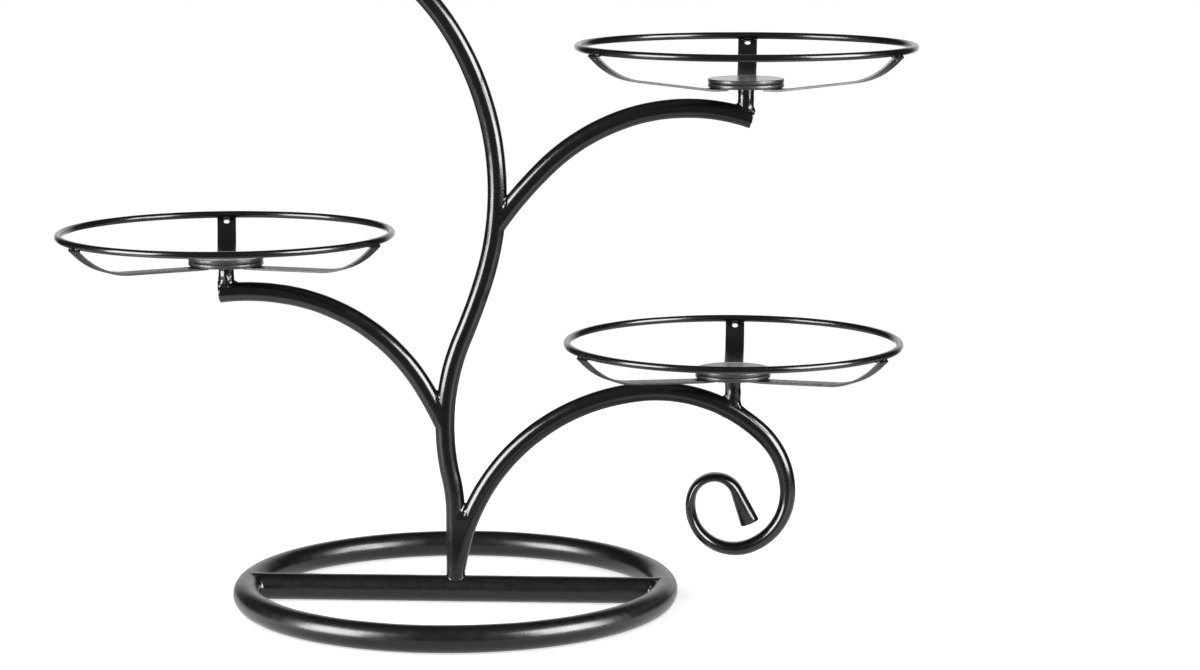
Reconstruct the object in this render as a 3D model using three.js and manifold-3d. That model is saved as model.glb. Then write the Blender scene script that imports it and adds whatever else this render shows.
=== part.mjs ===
// Plant stand with four round trays on bent tube arms.
// Millimetres and degrees. +Z up, +X along the base crossbar, origin on the floor under the stem.

import * as THREE from 'three';
import { mergeVertices } from 'three/addons/utils/BufferGeometryUtils.js';
import Module from 'manifold-3d';

const wasm = await Module();
wasm.setup();

// ---------------------------------------------------------------- driving dimensions

const weldGap = 0.3; // air left between a coped end and the tube it is welded to

// Base: a tube bent to a flat ring, with a straight tube across it.
const baseTube = 18;
const baseWall = 1.2;
const baseRingOutside = 301;
const ventHole = 6; // lets air and coating drain out of the ring into the crossbar

// Stem and arms: one size of thin steel tube.
const armTube = 13;
const armWall = 1.2;

// Bend schedule of the stem, from the crossbar's axis upwards. A positive turn is anticlockwise.
const stemBends = {
  foot: { straight: 52 },
  lean: { radius: 109, turn: 13 },
  sway: { radius: 156, turn: -36 },
  rise: { radius: 435, turn: 5.5 },
  shoulder: { radius: 201, turn: 50.5 },
  overhang: { radius: 140, turn: 73 },
};

// Each arm leaves the stem at a station along it, turned away from the stem's own heading.
// width is the tube's width in the plane of the scroll at the end of that bend: a tight bend
// draws the tube flat.
const lowRightArm = {
  station: 13,
  turnedBy: -10.5,
  bends: {
    root: { radius: 290, turn: -3.5 },
    arch: { radius: 141, turn: -69.5 },
    shoulder: { radius: 103, turn: -49.5, width: 12.5 },
    outerTurn: { radius: 56, turn: -46, width: 10.5 },
    underTurn: { radius: 39.5, turn: -69.5, width: 9.6 },
    loop: { radius: 29.5, turn: -127, width: 6.4 },
    crown: { radius: 16, turn: -80, width: 5.9 },
    hook: { radius: 16, turn: -62, width: 8.6 },
    tail: { straight: 23, width: 13 },
  },
};
const leftArm = {
  station: 112,
  turnedBy: 24.5,
  bends: {
    root: { radius: 278, turn: 6 },
    arch: { radius: 132, turn: 49 },
    shoulder: { radius: 156, turn: 17.8 },
  },
};
const highRightArm = {
  station: 253,
  turnedBy: -28,
  bends: {
    root: { radius: 289, turn: -10.5 },
    arch: { radius: 141, turn: -25 },
    shoulder: { radius: 129, turn: -38.5 },
  },
};

// Post: round sleeve with a threaded bore, welded on the arm under the tray.
const postDiameter = 11;
const postBore = 6.6;

// Tray: hub plate, three straps, ring, and a cap disc whose stud screws into the post.
const hubDiameter = 50.4;
const hubThickness = 3;
const capThickness = 3;
const discEdge = 0.9; // rounding of both discs' rims
const studDiameter = 6;
const studLength = 13;
const ringOutside = 227;
const ringRod = 4.8;
const strapWidth = 13;
const strapThickness = 1.5;
const strapUnderHub = 8.5; // length of strap welded under the hub plate
const strapLiftRadius = 40; // slight bend at the rim of the hub plate
const strapBendRadius = 50;
const strapLeg = 6; // straight end of the strap, above its bend
const strapHole = 4.2;
const strapHoleFromEnd = 3.6;
const strapAngles = { strap_back: 90, strap_front_left: 210, strap_front_right: 330 };

// Tiers: where the post stands along its arm, how far the hub plate is above the arm's axis,
// how far the ring's axis is above the underside of the hub plate, how steeply the straps leave
// the plate, and how far the tray is turned on its post.
const endMargin = 4.7; // from a post's axis to the cut end of its arm
const lowRightTier = { postAlong: 253.5, hubRise: 23.6, rimRise: 23, strapLift: 3, turned: 0 };
const leftTier = { hubRise: 18.6, rimRise: 21, strapLift: 1, turned: 9 };
const highRightTier = { hubRise: 19.6, rimRise: 27, strapLift: 8, turned: 0 };
const topLeftTier = { hubRise: 19.2, rimRise: 24, strapLift: 4, turned: 0 };

// Facets
const chordError = 0.2; // largest distance from a bend to its facets
const taperStep = 8; // longest facet where the tube's width changes
const tubeSides = 12;
const boreSides = 8;
const baseRingSteps = 48;
const trayRingSteps = 36;
const rodSides = 8;
const discSteps = 24;
const postSteps = 16;
const holeSides = 12;

// ---------------------------------------------------------------- materials

const powderCoat = new THREE.MeshStandardMaterial({ color: 0x161617, roughness: 0.34, metalness: 0.0 });
const discCoat = new THREE.MeshStandardMaterial({ color: 0x1c1c1d, roughness: 0.42, metalness: 0.0 });

// ---------------------------------------------------------------- bent paths in the XZ plane

const radians = THREE.MathUtils.degToRad;

class BentPath {
  constructor(start, bends) {
    this.pieces = [];
    let state = { ...start };
    let along = 0;
    for (const bend of Object.values(bends)) {
      const turn = radians(bend.turn ?? 0);
      const length = bend.straight ?? Math.abs(turn) * bend.radius;
      const piece = { state, along, length, curvature: turn / length };
      piece.endWidth = bend.width ?? state.width;
      this.pieces.push(piece);
      state = this.walk(piece, length);
      along += length;
    }
    this.length = along;
  }

  // The place, heading and tube width at a distance into one piece.
  walk(piece, distance) {
    const { x, z, heading, width } = piece.state;
    const bent = Math.min(Math.max(distance, 0), piece.length);
    const beyond = distance - bent;
    const turned = heading + piece.curvature * bent;
    let dx = Math.cos(heading) * bent;
    let dz = Math.sin(heading) * bent;
    if (piece.curvature !== 0) {
      dx = (Math.sin(turned) - Math.sin(heading)) / piece.curvature;
      dz = (Math.cos(heading) - Math.cos(turned)) / piece.curvature;
    }
    return {
      x: x + dx + Math.cos(turned) * beyond,
      z: z + dz + Math.sin(turned) * beyond,
      heading: turned,
      width: width + (piece.endWidth - width) * (bent / piece.length),
    };
  }

  // Runs straight on past either end.
  at(along) {
    const inside = this.pieces.findLast((piece) => along >= piece.along) ?? this.pieces[0];
    return this.walk(inside, along - inside.along);
  }

  // Stations that keep the facets within chordError of each bend.
  stations(overrunStart = 0, overrunEnd = 0) {
    const list = [this.at(-overrunStart)];
    for (const piece of this.pieces) {
      const turn = Math.abs(piece.curvature) * piece.length;
      const step = 2 * Math.acos(1 - chordError * Math.abs(piece.curvature));
      const forBend = turn > 0 ? Math.ceil(turn / step) : 1;
      const tapers = piece.endWidth !== piece.state.width;
      const forTaper = tapers ? Math.ceil(piece.length / taperStep) : 1;
      const count = Math.max(forBend, forTaper);
      const first = piece === this.pieces[0] && overrunStart > 0 ? 0 : 1;
      for (let i = first; i <= count; i++) list.push(this.walk(piece, (piece.length * i) / count));
    }
    if (overrunEnd > 0) list.push(this.at(this.length + overrunEnd));
    return list;
  }
}

// ---------------------------------------------------------------- closed meshes

// Round tube bent along a path. Where it is drawn flat, its depth grows so that its girth stays.
// grow moves the wall out for a clearance, or in for the bore.
function tubeGeometry(path, diameter, { grow = 0, sides = tubeSides, before = 0, after = 0 } = {}) {
  const stations = path.stations(before, after);
  const facetReach = grow < 0 ? 1 : 1 / Math.cos(Math.PI / sides);
  const positions = [];
  for (const { x, z, heading, width } of stations) {
    const halfWidth = width / 2;
    const halfDepth = Math.sqrt(diameter ** 2 / 2 - halfWidth ** 2);
    for (let k = 0; k < sides; k++) {
      const angle = (2 * Math.PI * (k + 0.5)) / sides;
      const across = (halfWidth + grow) * facetReach * Math.cos(angle);
      const deep = (halfDepth + grow) * facetReach * Math.sin(angle);
      positions.push(x + across * Math.sin(heading), deep, z - across * Math.cos(heading));
    }
  }
  const index = [];
  for (let s = 0; s + 1 < stations.length; s++) {
    for (let k = 0; k < sides; k++) {
      const a = s * sides + k;
      const b = s * sides + ((k + 1) % sides);
      index.push(a, b, a + sides, b, b + sides, a + sides);
    }
  }
  const last = (stations.length - 1) * sides;
  for (let k = 1; k + 1 < sides; k++) {
    index.push(0, k + 1, k);
    index.push(last, last + k, last + k + 1);
  }
  const geometry = new THREE.BufferGeometry();
  geometry.setAttribute('position', new THREE.Float32BufferAttribute(positions, 3));
  geometry.setIndex(index);
  return geometry;
}

// The inside of such a tube, run out past both its ends.
function boreGeometry(path, diameter, wall) {
  return tubeGeometry(path, diameter, { grow: -wall, sides: boreSides, before: 1, after: 1 });
}

// Ring of a tube or rod lying flat round the origin, with its lowest facet level.
function ringGeometry(radius, rod, sides, steps) {
  const reach = rod / 2 / Math.cos(Math.PI / sides);
  const profile = [];
  for (let k = 0; k <= sides; k++) {
    const angle = (2 * Math.PI * (k + 0.5)) / sides;
    profile.push(new THREE.Vector2(radius + reach * Math.cos(angle), reach * Math.sin(angle)));
  }
  return turnedGeometry(profile, steps);
}

// Turned piece: a profile of radius and height revolved about the Z axis.
function turnedGeometry(profile, steps) {
  const geometry = new THREE.LatheGeometry(profile, steps);
  geometry.rotateX(Math.PI / 2);
  return geometry;
}

function solid(geometry) {
  const bare = geometry.clone();
  bare.deleteAttribute('normal');
  bare.deleteAttribute('uv');
  const merged = mergeVertices(bare);
  const vertProperties = new Float32Array(merged.attributes.position.array);
  const triVerts = new Uint32Array(merged.index.array);
  return new wasm.Manifold(new wasm.Mesh({ numProp: 3, vertProperties, triVerts }));
}

function geometryOf(manifold) {
  const { vertProperties, triVerts } = manifold.getMesh();
  const geometry = new THREE.BufferGeometry();
  geometry.setAttribute('position', new THREE.BufferAttribute(vertProperties, 3));
  geometry.setIndex(new THREE.BufferAttribute(triVerts, 1));
  geometry.computeVertexNormals();
  return geometry;
}

function namedMesh(name, geometry, material) {
  const mesh = new THREE.Mesh(geometry, material);
  mesh.name = name;
  return mesh;
}

// ---------------------------------------------------------------- base

const baseAxis = baseTube / 2; // height of the base tubes' axis above the floor
const baseRingRadius = (baseRingOutside - baseTube) / 2;
const crossbarPath = new BentPath(
  { x: -baseRingRadius, z: baseAxis, heading: 0, width: baseTube },
  { bar: { straight: 2 * baseRingRadius } },
);

function crosswise(radius, length) {
  const cylinder = new THREE.CylinderGeometry(radius, radius, length, holeSides);
  return cylinder.rotateZ(Math.PI / 2);
}

function makeBaseRing() {
  const bore = baseTube - 2 * baseWall;
  const wall = solid(ringGeometry(baseRingRadius, baseTube, tubeSides, baseRingSteps));
  const hollow = solid(new THREE.TorusGeometry(baseRingRadius, bore / 2, boreSides, baseRingSteps));
  const vents = solid(crosswise(ventHole / 2, 2 * baseRingRadius));
  const ring = geometryOf(wall.subtract(hollow).subtract(vents));
  const mesh = namedMesh('base_ring', ring, powderCoat);
  mesh.position.z = baseAxis;
  return mesh;
}

function makeCrossbar() {
  const bar = solid(tubeGeometry(crossbarPath, baseTube));
  const bore = solid(boreGeometry(crossbarPath, baseTube, baseWall));
  const aroundRing = ringGeometry(baseRingRadius, baseTube + 2 * weldGap, tubeSides, baseRingSteps);
  aroundRing.translate(0, 0, baseAxis);
  const coped = bar.subtract(bore).subtract(solid(aroundRing));
  return namedMesh('base_crossbar', geometryOf(coped), powderCoat);
}

// ---------------------------------------------------------------- stem and arms

const stemPath = new BentPath({ x: 0, z: baseAxis, heading: Math.PI / 2, width: armTube }, stemBends);

function armPath({ station, turnedBy, bends }) {
  const root = stemPath.at(station);
  return new BentPath({ ...root, heading: root.heading + radians(turnedBy) }, bends);
}

const lowRightPath = armPath(lowRightArm);
const leftPath = armPath(leftArm);
const highRightPath = armPath(highRightArm);

// Tube along a path, open at its far end, with its near end coped to fit round the parent tube.
function makeCopedTube(name, path, parentPath, parentTube) {
  const wall = solid(tubeGeometry(path, armTube));
  const bore = solid(boreGeometry(path, armTube, armWall));
  const parent = solid(tubeGeometry(parentPath, parentTube, { grow: weldGap }));
  return namedMesh(name, geometryOf(wall.subtract(bore).subtract(parent)), powderCoat);
}

// ---------------------------------------------------------------- trays

const trayRingRadius = (ringOutside - ringRod) / 2;

// The strap's upper face, from its inner end under the hub plate to its tip beside the ring. It
// lifts a little at the plate's rim. The angle of its main bend follows from the height of the
// ring: the tip lies against the rod's underside.
function strapFace(rimRise, strapLift) {
  const lift = radians(strapLift);
  const across = trayRingRadius - hubDiameter / 2 - strapLiftRadius * Math.sin(lift);
  const up = rimRise - strapLiftRadius * (1 - Math.cos(lift));
  const ahead = across * Math.cos(lift) + up * Math.sin(lift);
  const above = up * Math.cos(lift) - across * Math.sin(lift);

  const offset = ringRod / 2 / Math.cos(Math.PI / rodSides) + weldGap;
  const lever = Math.hypot(strapBendRadius - offset, strapLeg);
  const lean = Math.atan2(strapLeg, strapBendRadius - offset);
  const angle = Math.acos((strapBendRadius - above) / lever) - lean;
  const bendAhead = (strapBendRadius - offset) * Math.sin(angle) + strapLeg * Math.cos(angle);
  return new BentPath({ x: hubDiameter / 2 - strapUnderHub, z: 0, heading: 0, width: 0 }, {
    foot: { straight: strapUnderHub },
    lift: { radius: strapLiftRadius, turn: strapLift },
    arm: { straight: ahead - bendAhead },
    bend: { radius: strapBendRadius, turn: THREE.MathUtils.radToDeg(angle) },
    leg: { straight: strapLeg },
  });
}

function strapGeometry(rimRise, strapLift) {
  const face = strapFace(rimRise, strapLift);
  const upper = face.stations();
  const lower = upper.map(({ x, z, heading }) => ({
    x: x + strapThickness * Math.sin(heading),
    z: z - strapThickness * Math.cos(heading),
  }));
  const outline = [...lower, ...upper.reverse()].map(({ x, z }) => new THREE.Vector2(x, z));
  const shape = new THREE.Shape(outline);
  const strap = new THREE.ExtrudeGeometry(shape, { depth: strapWidth, bevelEnabled: false });
  strap.translate(0, 0, -strapWidth / 2);

  const hole = face.at(face.length - strapHoleFromEnd);
  const drill = new THREE.CylinderGeometry(strapHole / 2, strapHole / 2, 4 * strapThickness, holeSides);
  drill.rotateZ(hole.heading);
  drill.translate(hole.x, hole.z, 0);

  const drilled = geometryOf(solid(strap).subtract(solid(drill)));
  return drilled.rotateX(Math.PI / 2);
}

// Disc with rounded rims from height bottom to height top; inner lists the profile's inner points.
function rimPoints(radius, bottom, top) {
  return [
    new THREE.Vector2(radius - discEdge, bottom),
    new THREE.Vector2(radius, bottom + discEdge),
    new THREE.Vector2(radius, top - discEdge),
    new THREE.Vector2(radius - discEdge, top),
  ];
}

function hubPlateGeometry() {
  const bore = postBore / 2;
  const profile = [
    new THREE.Vector2(bore, 0),
    ...rimPoints(hubDiameter / 2, 0, hubThickness),
    new THREE.Vector2(bore, hubThickness),
    new THREE.Vector2(bore, 0),
  ];
  return turnedGeometry(profile, discSteps);
}

function capDiscGeometry() {
  const stud = studDiameter / 2;
  const top = hubThickness + capThickness;
  const tip = hubThickness - studLength;
  const profile = [
    new THREE.Vector2(0, tip),
    new THREE.Vector2(stud - discEdge, tip),
    new THREE.Vector2(stud, tip + discEdge),
    new THREE.Vector2(stud, hubThickness),
    ...rimPoints(hubDiameter / 2, hubThickness, top),
    new THREE.Vector2(0, top),
  ];
  return turnedGeometry(profile, discSteps);
}

// Sleeve from the hub plate down to the arm, its foot coped to sit on the arm.
function postGeometry(place, carrierPath, hubRise) {
  const profile = [
    new THREE.Vector2(postBore / 2, -hubRise),
    new THREE.Vector2(postDiameter / 2, -hubRise),
    new THREE.Vector2(postDiameter / 2, 0),
    new THREE.Vector2(postBore / 2, 0),
    new THREE.Vector2(postBore / 2, -hubRise),
  ];
  const carrier = tubeGeometry(carrierPath, armTube, { grow: weldGap, after: postDiameter });
  carrier.translate(-place.x, 0, -place.z - hubRise);
  return geometryOf(solid(turnedGeometry(profile, postSteps)).subtract(solid(carrier)));
}

// One tier: its group stands with its origin at the middle of the hub plate's underside.
function makeTier(name, carrierPath, sizes) {
  const { postAlong = carrierPath.length - endMargin, hubRise, rimRise, strapLift, turned } = sizes;
  const place = carrierPath.at(postAlong);
  const tier = new THREE.Group();
  tier.position.set(place.x, 0, place.z + hubRise);
  tier.add(namedMesh(`${name}_post`, postGeometry(place, carrierPath, hubRise), powderCoat));
  tier.add(namedMesh(`${name}_hub_plate`, hubPlateGeometry(), powderCoat));
  tier.add(namedMesh(`${name}_cap_disc`, capDiscGeometry(), discCoat));

  const ring = ringGeometry(trayRingRadius, ringRod, rodSides, trayRingSteps);
  const ringMesh = namedMesh(`${name}_tray_ring`, ring, powderCoat);
  ringMesh.position.z = rimRise;
  tier.add(ringMesh);

  for (const [strap, angle] of Object.entries(strapAngles)) {
    const mesh = namedMesh(`${name}_${strap}`, strapGeometry(rimRise, strapLift), powderCoat);
    mesh.rotation.z = radians(angle + turned);
    tier.add(mesh);
  }
  return tier;
}

// ---------------------------------------------------------------- the stand

const group = new THREE.Group();
group.add(makeBaseRing(), makeCrossbar());
group.add(makeCopedTube('stem', stemPath, crossbarPath, baseTube));
group.add(makeCopedTube('arm_low_right', lowRightPath, stemPath, armTube));
group.add(makeCopedTube('arm_left', leftPath, stemPath, armTube));
group.add(makeCopedTube('arm_high_right', highRightPath, stemPath, armTube));
group.add(makeTier('low_right', lowRightPath, lowRightTier));
group.add(makeTier('left', leftPath, leftTier));
group.add(makeTier('high_right', highRightPath, highRightTier));
group.add(makeTier('top_left', stemPath, topLeftTier));

export default group;
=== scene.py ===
# Looks for the tiered plant stand: smooth bent tubes, welds, trays, powder coat, studio.
# Sizes of the stand are in millimetres and degrees, as in the CAD source, and the meshes made from
# them are in metres. Sizes of the studio are in metres.

import math

import bpy
import numpy as np
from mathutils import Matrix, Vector


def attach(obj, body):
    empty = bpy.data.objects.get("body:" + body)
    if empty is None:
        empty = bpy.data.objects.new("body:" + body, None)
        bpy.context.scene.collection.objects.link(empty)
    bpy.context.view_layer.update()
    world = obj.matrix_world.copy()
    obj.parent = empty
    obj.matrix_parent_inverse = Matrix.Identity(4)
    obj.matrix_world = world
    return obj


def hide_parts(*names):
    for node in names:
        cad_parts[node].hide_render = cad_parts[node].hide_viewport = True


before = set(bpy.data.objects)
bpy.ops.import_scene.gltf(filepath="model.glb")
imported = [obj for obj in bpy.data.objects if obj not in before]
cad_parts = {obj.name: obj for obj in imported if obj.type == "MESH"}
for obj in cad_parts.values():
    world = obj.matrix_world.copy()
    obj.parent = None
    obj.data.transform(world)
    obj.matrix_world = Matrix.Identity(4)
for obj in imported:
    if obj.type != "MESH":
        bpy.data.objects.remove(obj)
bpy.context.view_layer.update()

scene = bpy.context.scene
MM = 0.001

# ---------------------------------------------------------------- sizes

BASE_TUBE = 18
BASE_WALL = 1.2
BASE_RING_OUTSIDE = 301
ARM_TUBE = 13
ARM_WALL = 1.2
WELD_GAP = 0.3  # air between a strap's tip and the ring that it is welded to

STEM_BENDS = [
    dict(straight=52),
    dict(radius=109, turn=13),
    dict(radius=156, turn=-36),
    dict(radius=435, turn=5.5),
    dict(radius=201, turn=50.5),
    dict(radius=140, turn=73),
]
LOW_RIGHT_ARM = dict(
    station=13,
    turned_by=-10.5,
    bends=[
        dict(radius=290, turn=-3.5),
        dict(radius=141, turn=-69.5),
        dict(radius=103, turn=-49.5, width=12.5),
        dict(radius=56, turn=-46, width=10.5),
        dict(radius=39.5, turn=-69.5, width=9.6),
        dict(radius=29.5, turn=-127, width=6.4),
        dict(radius=16, turn=-80, width=5.9),
        dict(radius=16, turn=-62, width=8.6),
        dict(straight=23, width=13),
    ],
)
LEFT_ARM = dict(
    station=112,
    turned_by=24.5,
    bends=[
        dict(radius=278, turn=6),
        dict(radius=132, turn=49),
        dict(radius=156, turn=17.8),
    ],
)
HIGH_RIGHT_ARM = dict(
    station=253,
    turned_by=-28,
    bends=[
        dict(radius=289, turn=-10.5),
        dict(radius=141, turn=-25),
        dict(radius=129, turn=-38.5),
    ],
)

POST_DIAMETER = 11
POST_FOOT = 1.5  # from the arm's axis up to the foot of the post, inside the arm
POST_LUMPS = 0.20
POST_LUMP_PITCH = 4.6
POST_LUMP_STRETCH = (1, 1, 0.8)  # lumps are longer up the post than round it
POST_SHRINK = 0.26  # keeps the lumps within the post's diameter, but for the tallest
HUB_DIAMETER = 50.4
HUB_THICKNESS = 3
HUB_EDGE = 1
CAP_THICKNESS = 3
CAP_LOWER_EDGE = 1
CAP_UPPER_EDGE = 0.7
CAP_DISH = 0.17  # how far the middle of the cap lies below its lip
RING_OUTSIDE = 227
RING_ROD = 4.8
RING_ROD_SIDES = 8  # of the CAD ring, which the straps are set against
STRAP_WIDTH = 13
STRAP_THICKNESS = 1.5
STRAP_EDGE = 0.28
STRAP_UNDER_HUB = 8.5
STRAP_LIFT_RADIUS = 40
STRAP_BEND_RADIUS = 50
STRAP_LEG = 6
STRAP_HOLE = 4.2
STRAP_HOLE_FROM_END = 3.6
STRAP_ANGLES = {"strap_back": 90, "strap_front_left": 210, "strap_front_right": 330}
END_MARGIN = 4.7

CROTCH_GAP = 1.8  # gap between an arm and the stem at which the weld between them ends
CROTCH_TAPER = 10  # height over which that weld thins towards its end

# The cut end of a tube: its rounded rim, and the length of bore that is made.
CUT_RIM_OUTSIDE = 0.3
CUT_RIM_LENGTH = 0.35
CUT_RIM_INSIDE = 0.25
BORE_SHOWN = 14
BORE_STEP = 4

# Unevenness of a bent tube: long dents and short ripples, mostly inwards.
DENT = 0.05
DENT_PITCH = 34
RIPPLE = 0.02
RIPPLE_PITCH = 11

BASE_AXIS = BASE_TUBE / 2
BASE_RING_RADIUS = (BASE_RING_OUTSIDE - BASE_TUBE) / 2
TRAY_RING_RADIUS = (RING_OUTSIDE - RING_ROD) / 2


def detail(fine):
    return fine


# ---------------------------------------------------------------- bent paths in the XZ plane


class BentPath:
    """A run of straights and bends, in millimetres, in the XZ plane."""

    def __init__(self, x, z, heading, width, bends):
        self.pieces = []
        along = 0.0
        for bend in bends:
            turn = math.radians(bend.get("turn", 0))
            length = bend.get("straight") or abs(turn) * bend["radius"]
            end_width = bend.get("width", width)
            self.pieces.append((along, length, x, z, heading, width, end_width, turn / length))
            x, z, heading, width = self._walk(self.pieces[-1], length)
            along += length
        self.length = along

    @staticmethod
    def _walk(piece, distance):
        """Place, heading and width at a distance along one piece, or straight on beyond it."""
        _, length, x, z, heading, width, end_width, curve = piece
        bent = min(max(distance, 0.0), length)
        beyond = distance - bent
        turned = heading + curve * bent
        if abs(curve) > 1e-9:
            dx = (math.sin(turned) - math.sin(heading)) / curve
            dz = (math.cos(heading) - math.cos(turned)) / curve
        else:
            dx, dz = math.cos(heading) * bent, math.sin(heading) * bent
        return (
            x + dx + math.cos(turned) * beyond,
            z + dz + math.sin(turned) * beyond,
            turned,
            width + (end_width - width) * bent / length,
        )

    def at(self, along):
        """X, Z, heading and width at a station along the path."""
        inside = [p for p in self.pieces if along >= p[0]]
        piece = inside[-1] if inside else self.pieces[0]
        return self._walk(piece, along - piece[0])

    def stations(self, start, end, step):
        """Rows of at() from start to end, no more than a step apart."""
        count = max(2, int(math.ceil((end - start) / step)) + 1)
        return np.array([self.at(s) for s in np.linspace(start, end, count)])


stem_path = BentPath(0, BASE_AXIS, math.pi / 2, ARM_TUBE, STEM_BENDS)


def arm_path(arm):
    x, z, heading, width = stem_path.at(arm["station"])
    return BentPath(x, z, heading + math.radians(arm["turned_by"]), width, arm["bends"])


low_right_path = arm_path(LOW_RIGHT_ARM)
left_path = arm_path(LEFT_ARM)
high_right_path = arm_path(HIGH_RIGHT_ARM)


def tier_values(path, post_along, hub_rise, rim_rise, strap_lift, turn):
    """A tray's place: hub_rise is from the arm's axis, and rim_rise from the hub's underside."""
    x, arm_z, _, _ = path.at(post_along)
    return dict(
        path=path,
        post_along=post_along,
        x=x,
        arm_z=arm_z,
        hub_rise=hub_rise,
        hub_z=arm_z + hub_rise,
        rim_rise=rim_rise,
        strap_lift=strap_lift,
        turn=turn,
    )


TIERS = {
    "low_right": tier_values(
        low_right_path, 253.5, hub_rise=23.6, rim_rise=23, strap_lift=3, turn=0
    ),
    "left": tier_values(
        left_path, left_path.length - END_MARGIN, hub_rise=18.6, rim_rise=21, strap_lift=1, turn=9
    ),
    "high_right": tier_values(
        high_right_path,
        high_right_path.length - END_MARGIN,
        hub_rise=19.6,
        rim_rise=27,
        strap_lift=8,
        turn=0,
    ),
    "top_left": tier_values(
        stem_path, stem_path.length - END_MARGIN, hub_rise=19.2, rim_rise=24, strap_lift=4, turn=0
    ),
}

# ---------------------------------------------------------------- mesh helpers


def mesh_object(name, verts, faces):
    """A smooth-shaded mesh object from points in millimetres."""
    mesh = bpy.data.meshes.new(name)
    mesh.from_pydata([tuple(v) for v in np.asarray(verts, float) * MM], [], faces)
    mesh.validate()
    mesh.update()
    for polygon in mesh.polygons:
        polygon.use_smooth = True
    obj = bpy.data.objects.new(name, mesh)
    scene.collection.objects.link(obj)
    return obj


def finish_piece(obj, material, nodes=()):
    """Gives a piece its material and its body, and hides the CAD nodes that it stands for."""
    obj.data.materials.clear()
    obj.data.materials.append(material)
    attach(obj, "root")
    if nodes:
        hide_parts(*nodes)


def sharpen(obj, degrees):
    """Marks edges sharper than this angle, so that smooth shading keeps them crisp."""
    obj.data.set_sharp_from_angle(angle=math.radians(degrees))


def waves(points, wavelength, seed):
    """Smooth repeatable noise from about -1 to 1 at points in millimetres."""
    rng = np.random.default_rng(seed)
    count = 9
    total = np.zeros(len(points))
    for _ in range(count):
        direction = rng.normal(size=3)
        direction /= np.linalg.norm(direction)
        length = wavelength * rng.uniform(0.7, 1.5)
        total += np.sin(points @ direction * (2 * math.pi / length) + rng.uniform(0, 6.28))
    return total / math.sqrt(count)


def revolve(profile, steps):
    """Closed turned mesh about Z from (radius, height) points; radius 0 only at either end."""
    verts, rows = [], []
    for radius, height in profile:
        if radius < 1e-6:
            rows.append([len(verts)] * steps)
            verts.append((0, 0, height))
            continue
        row = []
        for k in range(steps):
            a = 2 * math.pi * k / steps
            row.append(len(verts))
            verts.append((radius * math.cos(a), radius * math.sin(a), height))
        rows.append(row)
    faces = []
    for lower, upper in zip(rows, rows[1:]):
        for k in range(steps):
            n = (k + 1) % steps
            quad = [lower[k], lower[n], upper[n], upper[k]]
            faces.append([v for i, v in enumerate(quad) if v not in quad[:i]])
    return np.array(verts), faces


def arc(cx, cy, radius, start, end, count):
    """Points on an arc in the profile plane."""
    angles = np.radians(np.linspace(start, end, count))
    return [(cx + radius * math.cos(a), cy + radius * math.sin(a)) for a in angles]


# ---------------------------------------------------------------- welds from distance fields


def net_surface(field, origin, cell):
    """Surface net of field < 0 on a regular grid: points in millimetres, and quads."""
    inside = field < 0
    corners = [(i, j, k) for i in (0, 1) for j in (0, 1) for k in (0, 1)]
    shape = tuple(n - 1 for n in field.shape)
    total = np.zeros(shape + (3,))
    hits = np.zeros(shape)
    for a in corners:
        for axis in range(3):
            if a[axis]:
                continue
            b = tuple(v + (1 if n == axis else 0) for n, v in enumerate(a))
            fa = field[tuple(slice(v, v + s) for v, s in zip(a, shape))]
            fb = field[tuple(slice(v, v + s) for v, s in zip(b, shape))]
            cross = (fa < 0) != (fb < 0)
            t = np.where(cross, fa / np.where(cross, fa - fb, 1), 0)
            for n in range(3):
                total[..., n] += np.where(cross, a[n] + (t if n == axis else 0), 0)
            hits += cross
    active = hits > 0
    number = -np.ones(shape, int)
    number[active] = np.arange(active.sum())
    base = np.argwhere(active)
    verts = (base + total[active] / hits[active][:, None]) * cell + origin
    faces = []
    for axis in range(3):
        u, v = (axis + 1) % 3, (axis + 2) % 3
        here = [slice(None)] * 3
        there = [slice(None)] * 3
        here[axis], there[axis] = slice(0, -1), slice(1, None)
        flips = np.argwhere(inside[tuple(here)] != inside[tuple(there)])
        flips = flips[(flips[:, u] > 0) & (flips[:, v] > 0)]
        flips = flips[(flips[:, u] < shape[u]) & (flips[:, v] < shape[v])]
        if not len(flips):
            continue
        quads = []
        for du, dv in ((1, 1), (0, 1), (0, 0), (1, 0)):
            spot = flips.copy()
            spot[:, u] -= du
            spot[:, v] -= dv
            quads.append(number[tuple(spot.T)])
        quads = np.array(quads).T
        outward = inside[tuple(flips.T)]
        quads[~outward] = quads[~outward][:, ::-1]
        faces += quads.tolist()
    return verts, faces


def smooth_net(verts, faces):
    """Moves each point of a net halfway to the middle of its neighbours."""
    quads = np.array(faces)
    total = np.zeros_like(verts)
    count = np.zeros(len(verts))
    for a, b in ((0, 1), (1, 2), (2, 3), (3, 0)):
        np.add.at(total, quads[:, a], verts[quads[:, b]])
        np.add.at(total, quads[:, b], verts[quads[:, a]])
        np.add.at(count, quads[:, a], 1)
        np.add.at(count, quads[:, b], 1)
    return 0.5 * verts + 0.5 * total / count[:, None]


def everywhere(points):
    return np.ones(len(points))


def ease(t):
    """Smooth step from 0 at t = 0 to 1 at t = 1."""
    t = np.clip(t, 0, 1)
    return t * t * (3 - 2 * t)


def crease(a, b, counts):
    """0 where two distance fields on a grid point the same way, 1 where they meet in a crease."""
    slope_a = np.array(np.gradient(a.reshape(counts))).reshape(3, -1)
    slope_b = np.array(np.gradient(b.reshape(counts))).reshape(3, -1)
    size = np.linalg.norm(slope_a, axis=0) * np.linalg.norm(slope_b, axis=0)
    along = (slope_a * slope_b).sum(axis=0) / np.maximum(size, 1e-9)
    same_way, crossing = 0.985, 0.635
    return ease((same_way - along) / (same_way - crossing))


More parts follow.
